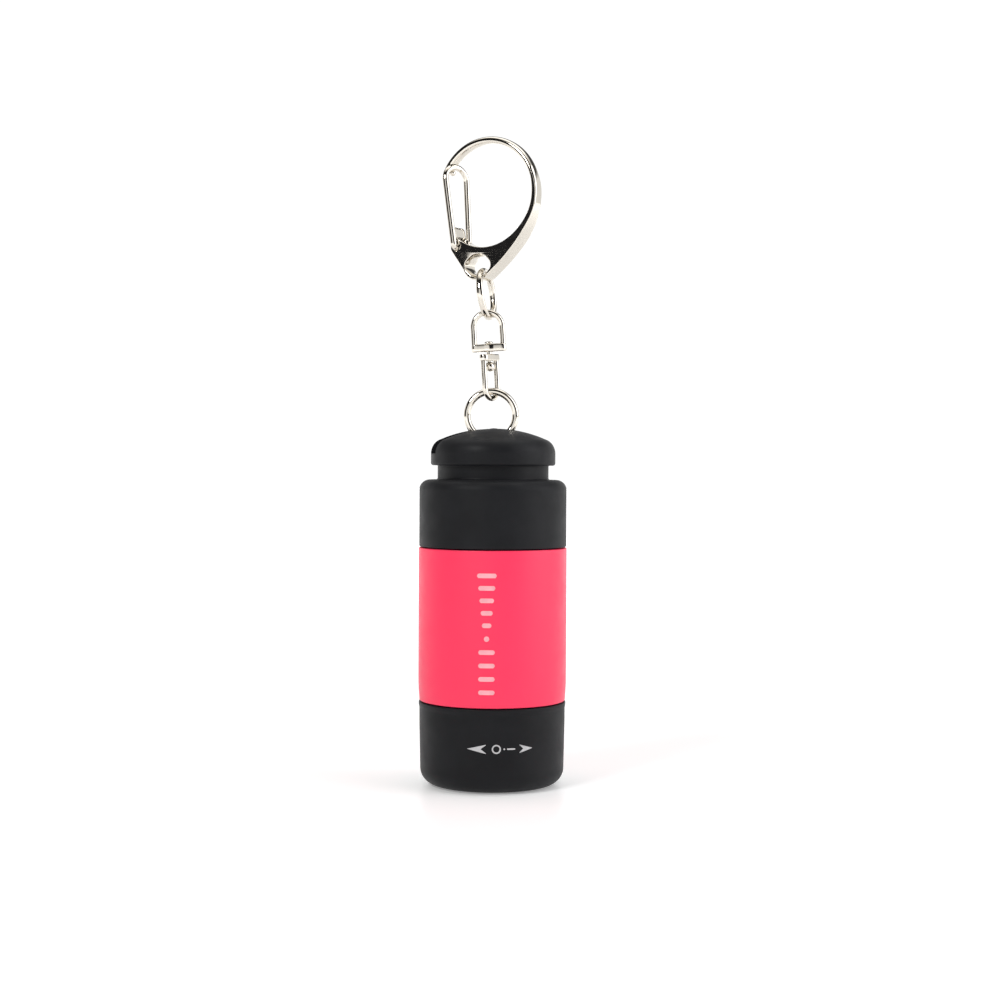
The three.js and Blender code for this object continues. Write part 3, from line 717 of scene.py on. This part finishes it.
def bulged(outline):
    """A strap's outline, with more points on its long sides and a bulge in their middle."""
    bulge, rate, reach, side_y, long_side = 0.7, 1.1, 1.3, 0.5, 1.5
    points = []
    for i, here in enumerate(outline):
        there = outline[(i + 1) % len(outline)]
        steps = 16 if math.dist(here, there) > long_side else 1
        for k in range(steps):
            t = k / steps
            x, y = here[0] + (there[0] - here[0]) * t, here[1] + (there[1] - here[1]) * t
            if abs(x) < reach and abs(y) > side_y:
                y = math.copysign(max(abs(y), bulge * math.cos(x * rate)), y)
            points.append((x, y))
    return points


def swivel_bow():
    """The swivel's upper part, whose bend carries the link."""
    strap = bulged(capsule(2.81, 0.6))
    bend = BOW_TOP - BOW_HALF_WIDTH
    piece = stirrup("swivel_upper_bow", BOW_HALF_WIDTH, bend, 6.4, 1.3, strap, 0.25)
    return hang(piece, RING_TOP, CHAIN_LEAN)


def swivel_rivet():
    """The swivel's pin: a ball below both straps, a shank and a domed head."""
    ball_z, ball_r, shank_r, head_z, head_r = 4.0, 0.8, 0.38, 7.78, 0.75
    ball = arc(0, ball_z, ball_r, ball_r, -90, 58, 18)
    dome = arc(0, head_z + 0.04, head_r, 0.31, 10, 90, 10)
    outline = [
        (0, ball[0][1]),
        *ball[1:],
        (shank_r, ball_z + 0.72),
        (shank_r, head_z),
        (head_r, head_z, 0.05),
        *dome[:-1],
        (0, dome[-1][1]),
    ]
    return hang(turned("swivel_pin", rounded(outline), 40), RING_TOP, CHAIN_LEAN)


def link():
    """The plain link, whose wire is thicker across than in its own plane."""
    wire_r, half_depth = 0.405, 0.56
    bm = bmesh.new()
    across = Vector((math.sin(LINK_TURN), -math.cos(LINK_TURN), 0))
    points, squash = circle(LINK_R, LINK_TURN), half_depth / wire_r
    swept(bm, points, wire_r, 24, closed=True, squash=squash, squash_axis=across)
    bmesh.ops.translate(bm, vec=(0, 0, LINK_R - LINK_DROP), verts=bm.verts)
    piece = finish_mesh("plain_link", bm)
    return hang(piece, up_chain(BOW_TOP) + Vector((LINK_ASIDE, 0, 0)), LINK_LEAN)


# ---------------------------------------------------------------- snap hook


def hook_frame():
    """The matrix from the hook's flat frame, in metres, to the object's frame."""
    bow = up_chain(BOW_TOP)
    rise = 2 * LINK_R - LINK_DROP
    link_x = bow.x + LINK_ASIDE - rise * math.sin(LINK_LEAN)
    link_z = bow.z + rise * math.cos(LINK_LEAN)
    x = link_x + HOOK_ASIDE * math.cos(HOOK_TURN)
    y = -HOOK_ASIDE * math.sin(HOOK_TURN)
    place = Vector((x, y, link_z + HOOK_ABOVE_LINK))
    upright = Matrix.Rotation(math.radians(90), 4, "X")
    return Matrix.Translation(place * MM) @ Matrix.Rotation(-HOOK_TURN, 4, "Z") @ upright


def bezier(corners, count):
    """Points along a cubic curve with four control points, without its two ends."""
    points = []
    for i in range(1, count):
        t = i / count
        weights = ((1 - t) ** 3, 3 * t * (1 - t) ** 2, 3 * t * t * (1 - t), t**3)
        x = sum(weight * corner[0] for weight, corner in zip(weights, corners))
        y = sum(weight * corner[1] for weight, corner in zip(weights, corners))
        points.append((x, y))
    return points


def hook_outline():
    """The hook's closed outline in its flat frame, from its nose over the hoop and the foot."""
    rim = arc(0, 0, HOOP_R, HOOP_R, HOOP_START, -8, HOOP_RIM_STEPS - 1)
    lobe = arc(-1.2, -11.05, 2.75, 2.75, -47, -160, 24)
    side = bezier((rim[-1], (9.2, -3.6), (7.3, -7.9), lobe[0]), 26)
    return [
        *rim,
        *side,
        *lobe,
        *arc(*PIVOT, 1.1, 1.1, -145, -185, 8),
        (-6.45, -5.6),
        *arc(-5.92, -5.4, 0.5, 0.5, 170, 10, 14),
        *arc(*HOOP_INSIDE, HOOP_INSIDE_R, HOOP_INSIDE_R, -130, HOOP_START, 110),
    ]


def half_depth_at(v):
    """Half the hook's thickness at a height. The foot is thicker than the hoop."""
    thick_below, blend_height = -8, 7
    share = min(max((v - thick_below) / blend_height, 0), 1)
    share = share * share * (3 - 2 * share)
    return FOOT_HALF_DEPTH + (HOOP_HALF_DEPTH - FOOT_HALF_DEPTH) * share


def gate_points():
    """The gate's wire in the hook's flat frame, from its front stub over the tip to the back one."""
    tip, half, bend_r, stub_end, count = (-6.45, 4.95), 2.3, 0.7, 0.85, 260
    full_twist = math.radians(18.4)
    quarter = half * math.pi / 2
    arch = tip[1] - half
    leg = arch - PIVOT[1] - bend_r
    bend = bend_r * math.pi / 2
    total = quarter + leg + bend + half - bend_r - stub_end

    def out_and_up(d):
        if d < quarter:
            return half * math.sin(d / half), arch + half * math.cos(d / half)
        if d < quarter + leg:
            return half, arch - (d - quarter)
        turn = min(d - quarter - leg, bend) / bend_r
        straight = max(d - quarter - leg - bend, 0)
        out = half - bend_r + bend_r * math.cos(turn) - straight
        return out, PIVOT[1] + bend_r - bend_r * math.sin(turn)

    points = []
    for i in range(count + 1):
        along = (1 - 2 * i / count) * total
        side = math.copysign(1, along)
        out, up = out_and_up(abs(along))
        share = (up - PIVOT[1]) / (tip[1] - PIVOT[1])
        twist = full_twist * share
        u = PIVOT[0] + (tip[0] - PIVOT[0]) * share - side * out * math.sin(twist)
        points.append(Vector((u, up, side * out * math.cos(twist))))
    return points


def hoop_stations():
    """Pairs of (outer, inner) points of the hoop in the flat frame, from its nose to its foot."""
    outer = hook_outline()[: HOOP_RIM_STEPS + HOOP_SIDE_STEPS]
    inside_u, inside_v = HOOP_INSIDE
    stations = []
    for i, point in enumerate(outer):
        share = i / (len(outer) - 1)
        eased = share + 0.04 * math.sin(2 * math.pi * share)
        angle = math.radians(HOOP_START + (HOOP_END - HOOP_START) * eased)
        inner_u = inside_u + HOOP_INSIDE_R * math.cos(angle)
        inner_v = inside_v + HOOP_INSIDE_R * math.sin(angle)
        stations.append((point, (inner_u, inner_v)))
    return stations


def rounded_square(a, power):
    """A point at an angle on a curve that is round at a power of 1 and square near 0."""
    across = math.copysign(abs(math.cos(a)) ** power, math.cos(a))
    deep = math.copysign(abs(math.sin(a)) ** power, math.sin(a))
    return across, deep


def hook_hoop():
    """The hoop: nearly round at the top, square towards the foot, with its end tucked into it."""
    square_below, blend_height, sides = 2.5, 9, 48
    bm = bmesh.new()
    rings = []
    stations = hoop_stations()
    for i, ((outer_u, outer_v), (inner_u, inner_v)) in enumerate(stations):
        tuck = min(1, 0.7 + 0.1 * (len(stations) - 1 - i))
        crisp = min(max((square_below - (outer_v + inner_v) / 2) / blend_height, 0), 1)
        power = 2 / (2.5 + 9 * crisp)
        ring = []
        for k in range(sides):
            across, deep = rounded_square(2 * math.pi * (k + 0.5) / sides, power)
            share = (across * tuck + 1) / 2
            u, v = inner_u + (outer_u - inner_u) * share, inner_v + (outer_v - inner_v) * share
            ring.append(bm.verts.new((u, v, half_depth_at(v) * deep * tuck)))
        rings.append(ring)
    for here, there in zip(rings, rings[1:]):
        for k in range(sides):
            m = (k + 1) % sides
            bm.faces.new((here[k], here[m], there[m], there[k]))
    bm.faces.new(rings[0])
    bm.faces.new(list(reversed(rings[-1])))
    return finish_mesh("hook_hoop", bm, HOOK_SHARP_ANGLE)


def slice_levels(bm, axis, levels):
    """Adds edges to a bmesh where planes across an axis cut it."""
    for level in levels:
        everything = bm.verts[:] + bm.edges[:] + bm.faces[:]
        bmesh.ops.bisect_plane(bm, geom=everything, plane_co=Vector(axis) * level, plane_no=axis)


def hook_foot():
    """The foot of the hook: a plate with the eye, whose mouth flares towards both faces."""
    eye_u, eye_v, half_width, half_height = -1.1, -11.4, 2.3, 1.42
    flare_u, flare_v, mouth_sides = 0.12, 0.5, 48
    throat, flare_depth, wall_end = 0.55, 1.1, 1.45
    plate_top, plate_right, bevel = -4.4, 7.2, 0.14
    mouth = []
    for i in range(mouth_sides):
        a = -2 * math.pi * i / mouth_sides
        rise = half_height * math.sin(a) + flare_v * math.sin(a) ** 3
        mouth.append((eye_u + (half_width + flare_u) * math.cos(a), eye_v + rise))
    outline = [(u, v) for u, v in hook_outline() if v < plate_top and u < plate_right]
    bm = slab("hook", outline, mouth, FOOT_HALF_DEPTH, bevel)
    slice_levels(bm, (0, 1, 0), (-8, -7.4, -6.8, -6.2, -5.6, -5))
    slice_levels(bm, (0, 0, 1), (-1.4, -1.1, -0.75, -0.4, 0.4, 0.75, 1.1, 1.4))
    for vert in bm.verts:
        across = (vert.co.x - eye_u) / (half_width + flare_u)
        up = (vert.co.y - eye_v) / (half_height + flare_v)
        if math.hypot(across, up) < 1.04 and abs(vert.co.z) < wall_end:
            narrow = 1 - max(abs(vert.co.z) - throat, 0) / flare_depth
            steep = math.sqrt(max(1 - across**2, 0))
            vert.co.x -= flare_u * narrow * across
            vert.co.y -= math.copysign(flare_v * narrow * steep**3, up)
        vert.co.z *= half_depth_at(vert.co.y) / FOOT_HALF_DEPTH
    return finish_mesh("hook_frame", bm, HOOK_SHARP_ANGLE)


def nose_peg():
    """The peg at the hook's nose, with a ball that the gate closes round."""
    start_r, start_angle = 8.85, math.radians(146)
    peg_r, ball_r = 0.34, 0.5
    start = Vector((start_r * math.cos(start_angle), start_r * math.sin(start_angle), 0))
    ball = Vector((-6.9, 4.05, 0))
    bm = bmesh.new()
    swept(bm, [start, (start + ball) / 2, ball], peg_r, 20)
    peg = finish_mesh("peg", bm)
    bm = bmesh.new()
    bmesh.ops.create_uvsphere(bm, u_segments=28, v_segments=16, radius=ball_r)
    bmesh.ops.translate(bm, vec=ball, verts=bm.verts)
    boolean(peg, finish_mesh("peg_ball", bm), "UNION")
    return peg


def hook_body():
    """The hook's body: foot, hoop and peg, with room for the gate's wire and its pivot."""
    gate_room_r, pivot_room_r = 0.62, 0.6
    body = hook_foot()
    boolean(body, hook_hoop(), "UNION")
    bm = bmesh.new()
    swept(bm, gate_points(), gate_room_r, 20)
    boolean(body, finish_mesh("gate_room", bm), "DIFFERENCE")
    bm = bmesh.new()
    swept(bm, [Vector((*PIVOT, depth)) for depth in (-3, 0, 3)], pivot_room_r, 24)
    boolean(body, finish_mesh("pivot_hole", bm), "DIFFERENCE")
    boolean(body, nose_peg(), "UNION")
    resharp(body, HOOK_SHARP_ANGLE)
    body.data.transform(hook_frame())
    return body


def hook_gate():
    """The wire gate."""
    wire_r = 0.5
    bm = bmesh.new()
    swept(bm, gate_points(), wire_r, 24)
    piece = finish_mesh("wire_gate", bm)
    piece.data.transform(hook_frame())
    return piece


# ---------------------------------------------------------------- printed marks


def edge_key(a, b):
    """The same key for the same edge, whichever way round its two points are given."""
    return frozenset(((round(a[0], 4), round(a[1], 4)), (round(b[0], 4), round(b[1], 4))))


def wrap(name, cells, radius, middle_angle, body, slot, material):
    """Thin printed shapes on a cylinder. Each cell is a quad of (arc length, height)."""
    bm = bmesh.new()
    uses = {}
    for cell in cells:
        for a, b in zip(cell, cell[1:] + cell[:1]):
            uses[edge_key(a, b)] = uses.get(edge_key(a, b), 0) + 1
    made = {}

    def vert(point, lift):
        key = (round(point[0], 4), round(point[1], 4), lift)
        if key not in made:
            angle = middle_angle + point[0] / radius
            r = radius + lift
            made[key] = bm.verts.new((r * math.sin(angle), -r * math.cos(angle), point[1]))
        return made[key]

    over, under = 0.03, -0.05
    for cell in cells:
        bm.faces.new([vert(p, over) for p in cell])
        bm.faces.new([vert(p, under) for p in reversed(cell)])
        for a, b in zip(cell, cell[1:] + cell[:1]):
            if uses[edge_key(a, b)] == 1:
                bm.faces.new((vert(b, over), vert(a, over), vert(a, under), vert(b, under)))
    return dress(finish_mesh(name, bm), body, slot, material)


def columns(start, end, limits, count):
    """Quads side by side between two arc lengths. limits(t) gives the two heights at a share t."""
    cells = []
    for i in range(count):
        t0, t1 = i / count, (i + 1) / count
        s0, s1 = start + (end - start) * t0, start + (end - start) * t1
        (low0, high0), (low1, high1) = limits(t0), limits(t1)
        cells.append([(s0, low0), (s1, low1), (s1, high1), (s0, high0)])
    return cells


def pill(centre, height, width, thick):
    """A horizontal bar with round ends, which keep a small height so that no quad collapses."""
    end, least = thick / 2, 0.02

    def limits(t):
        s = abs(t - 0.5) * width
        beyond = max(s - (width / 2 - end), 0)
        half = math.sqrt(max(end**2 - beyond**2, least**2))
        return height - half, height + half

    return columns(centre - width / 2, centre + width / 2, limits, 24)


def annulus(centre, height, inner, outer, count=36):
    """A ring, or a dot when the inner radius is small."""
    cells = []
    for i in range(count):
        a, b = 2 * math.pi * i / count, 2 * math.pi * (i + 1) / count
        corners = [(inner, a), (outer, a), (outer, b), (inner, b)]
        cells.append([(centre + r * math.cos(t), height + r * math.sin(t)) for r, t in corners])
    return cells


def arrowhead(tip, back, height, half):
    """A swept-back arrowhead. Its back is notched, so the last columns split in two."""
    notch = back - 0.28 * (back - tip)

    def solid(t):
        return height - half * (0.02 + 0.7 * t), height + half * (0.02 + 0.7 * t)

    cells = columns(tip, notch, solid, 8)
    for sign in (-1, 1):
        def wing(t, sign=sign):
            outer = height + sign * half * (0.72 + 0.28 * t)
            inner = height + sign * half * (0.01 + 0.85 * t)
            return tuple(sorted((outer, inner)))

        cells += columns(notch, back, wing, 5)
    return cells


def beam_mark(material):
    """A generic beam of bars and a dot, up the front of the barrel."""
    barrel_r, middle_angle, thick = 12.0, math.radians(-4.1), 0.72
    cells = []
    for i, width in enumerate((1.5, 1.9, 2.3, 2.7, 3.1)):
        cells += pill(0, 26.7 + 1.95 * i, width, thick)
    for i in range(4):
        cells += pill(0, 22.5 - 2.1 * i, 2.6, thick)
    cells += annulus(0, 24.6, 0.02, 0.42)
    wrap("beam_mark", cells, barrel_r, middle_angle, "body", "pink_shell", material)


def switch_mark(material):
    """Two arrowheads with the usual circle and line for off and on between them."""
    head_r, height = 11.765, 7.3
    cells = arrowhead(-3.9, -0.9, height, 0.72)
    cells += arrowhead(6.75, 4.5, height, 0.66)
    cells += annulus(0.75, height, 0.5, 0.72)
    cells += annulus(2.0, height, 0.02, 0.14, 16)
    cells += pill(3.1, height, 1.35, 0.24)
    wrap("switch_mark", cells, head_r, 0.0, "head", "soft_black", material)


# ---------------------------------------------------------------- assembly, stage, light


def dress_cad_nodes(materials):
    """The pieces inside the torch keep their CAD shape and get their finish."""
    slots = {entry["node"]: entry["material_slot"] for entry in frame["record"]["subparts"]}
    for name, node in frame["nodes"].items():
        look = "plug_nickel" if name in ("usb_shell", "contact_spring") else slots[name]
        node.data.materials.clear()
        node.data.materials.append(materials[look])


def build(materials):
    """The fine pieces that stand for CAD nodes, and the two printed marks."""
    soft, metal = materials["soft_black"], materials["polished_nickel"]
    dress(head_shell(), "head", "soft_black", soft, "head_shell")
    dress(front_lens(), "head", "clear_lens", materials["clear_lens"], "front_lens")
    dress(reflector(), "head", "reflector_chrome", materials["reflector_chrome"], "reflector")
    dress(body_sleeve(), "body", "pink_shell", materials["pink_shell"], "body_sleeve")
    dress(inner_chassis(), "body", "soft_black", soft, "inner_chassis")
    rubber = materials["black_rubber"]
    dress(o_ring("head_seal", 9.85, 11.85), "body", "black_rubber", rubber, "head_oring")
    dress(o_ring("tail_seal", 9.92, 39.65), "body", "black_rubber", rubber, "tail_oring")
    dress(cap_shell(), "cap", "soft_black", soft, "cap_shell")
    dress(key_ring(), "ring", "polished_nickel", metal, "key_ring")
    dress(swivel_loop(), "swivel_lower", "polished_nickel", metal, "swivel_loop")
    dress(swivel_bow(), "swivel_upper", "polished_nickel", metal, "swivel_bow")
    dress(swivel_rivet(), "swivel_upper", "polished_nickel", metal, "swivel_rivet")
    dress(link(), "link", "polished_nickel", metal, "link")
    dress(hook_body(), "hook", "polished_nickel", metal, "hook_body")
    dress(hook_gate(), "gate", "polished_nickel", metal, "hook_gate")
    beam_mark(materials["print_pink"])
    switch_mark(materials["print_grey"])


def add_floor():
    """A white floor that glows more with distance, so that it melts into the backdrop."""
    bpy.ops.mesh.primitive_plane_add(size=6, location=(0, 0, -0.0001))
    floor = bpy.context.object
    floor.name = "floor"
    n = Nodes("white_floor")
    colour = n.ramp(n.noise(12, 2), 0.3, 0.7, (0.9, 0.9, 0.9), (0.93, 0.93, 0.93))
    n.link(colour, n.shader.inputs["Base Color"])
    n.set(Roughness=0.35, Specular_IOR_Level=0.3)
    distance = n.tree.nodes.new("ShaderNodeVectorMath")
    distance.operation = "LENGTH"
    n.link(n.place, distance.inputs[0])
    n.set(Emission_Color=(1, 1, 1, 1))
    glow = n.spread(distance.outputs["Value"], 0.12, 0.7, 0.24, 1.1)
    n.link(glow, n.shader.inputs["Emission Strength"])
    floor.data.materials.append(n.material)


def add_light(name, place, size, power, colour=(1, 1, 1)):
    """A rectangular light of a size in metres and a power in watts, aimed at the object's middle."""
    aim = Vector((0, 0, 0.05))
    light = bpy.data.lights.new(name, "AREA")
    light.shape = "RECTANGLE"
    light.size, light.size_y = size
    light.energy = power
    light.color = colour
    lamp = bpy.data.objects.new(name, light)
    lamp.location = place
    lamp.rotation_euler = (aim - Vector(place)).to_track_quat("-Z", "Y").to_euler()
    bpy.context.scene.collection.objects.link(lamp)


def stepped_ramp(tree, source, stops):
    """The colour that a value gives on a ramp of (position, colour) stops."""
    node = tree.nodes.new("ShaderNodeValToRGB")
    elements = node.color_ramp.elements
    while len(elements) < len(stops):
        elements.new(0.5)
    for element, (position, colour) in zip(elements, stops):
        element.position = position
        element.color = (*colour, 1)
    tree.links.new(source, node.inputs["Fac"])
    return node.outputs["Color"]


def add_world():
    """A white room with a wide dark ring round its front, which the metal mirrors as dark bands."""
    front = Vector((0.34, 0.94, 0.05)).normalized()
    white, shadow, beige = (1, 1, 1), (0.018, 0.018, 0.02), (0.6, 0.52, 0.4)
    faint, backdrop = (0.07, 0.07, 0.07), (1.05, 1.05, 1.05, 1)
    ring = [(0.0, white), (0.03, white), (0.065, shadow), (0.36, shadow), (0.44, beige), (0.54, white)]
    belt = [(0.34, white), (0.44, faint), (0.66, faint), (0.78, white)]
    world = bpy.data.worlds.new("studio")
    bpy.context.scene.world = world
    world.use_nodes = True
    tree = world.node_tree
    background = tree.nodes["Background"]
    direction = tree.nodes.new("ShaderNodeTexCoord").outputs["Generated"]
    axes = tree.nodes.new("ShaderNodeSeparateXYZ")
    tree.links.new(direction, axes.inputs[0])
    depth = tree.nodes.new("ShaderNodeVectorMath")
    depth.operation = "DOT_PRODUCT"
    depth.inputs[1].default_value = front
    tree.links.new(direction, depth.inputs[0])
    to_unit = tree.nodes.new("ShaderNodeMapRange")
    to_unit.inputs["From Min"].default_value = -1
    tree.links.new(depth.outputs["Value"], to_unit.inputs["Value"])
    lit = tree.nodes.new("ShaderNodeMix")
    lit.data_type = "RGBA"
    lit.blend_type = "MULTIPLY"
    lit.inputs["Factor"].default_value = 1
    tree.links.new(stepped_ramp(tree, to_unit.outputs["Result"], ring), lit.inputs[MIX_A])
    tree.links.new(stepped_ramp(tree, axes.outputs["Z"], belt), lit.inputs[MIX_B])
    seen = tree.nodes.new("ShaderNodeMix")
    seen.data_type = "RGBA"
    seen.inputs[MIX_B].default_value = backdrop
    camera_ray = tree.nodes.new("ShaderNodeLightPath").outputs["Is Camera Ray"]
    tree.links.new(camera_ray, seen.inputs["Factor"])
    tree.links.new(lit.outputs[MIX_RESULT], seen.inputs[MIX_A])
    tree.links.new(seen.outputs[MIX_RESULT], background.inputs["Color"])


def add_camera():
    """The camera in front of the object, looking slightly down and tilted a little."""
    look_down, tilt = 1.28, 0.27
    camera_data = bpy.data.cameras.new("camera")
    camera_data.lens = 66.5
    camera_data.sensor_width = 36
    camera_data.clip_start = 0.01
    camera = bpy.data.objects.new("camera", camera_data)
    camera.location = (0.00114, -0.3, 0.0528)
    pitch = Matrix.Rotation(math.radians(90 - look_down), 4, "X")
    roll = Matrix.Rotation(math.radians(tilt), 4, "Z")
    camera.rotation_euler = (pitch @ roll).to_euler()
    bpy.context.scene.collection.objects.link(camera)
    bpy.context.scene.camera = camera


materials = all_materials()
dress_cad_nodes(materials)
build(materials)
add_floor()
add_world()
add_light("key", (0.5, -0.16, 0.3), (0.5, 0.5), 1.8, (0.97, 0.97, 1.0))
add_light("fill", (-0.34, -0.42, 0.42), (0.2, 0.2), 2.0)
add_light("overhead", (0.0, 0.05, 0.6), (0.6, 0.5), 0.7)
add_camera()
bpy.context.scene.view_settings.view_transform = "Standard"
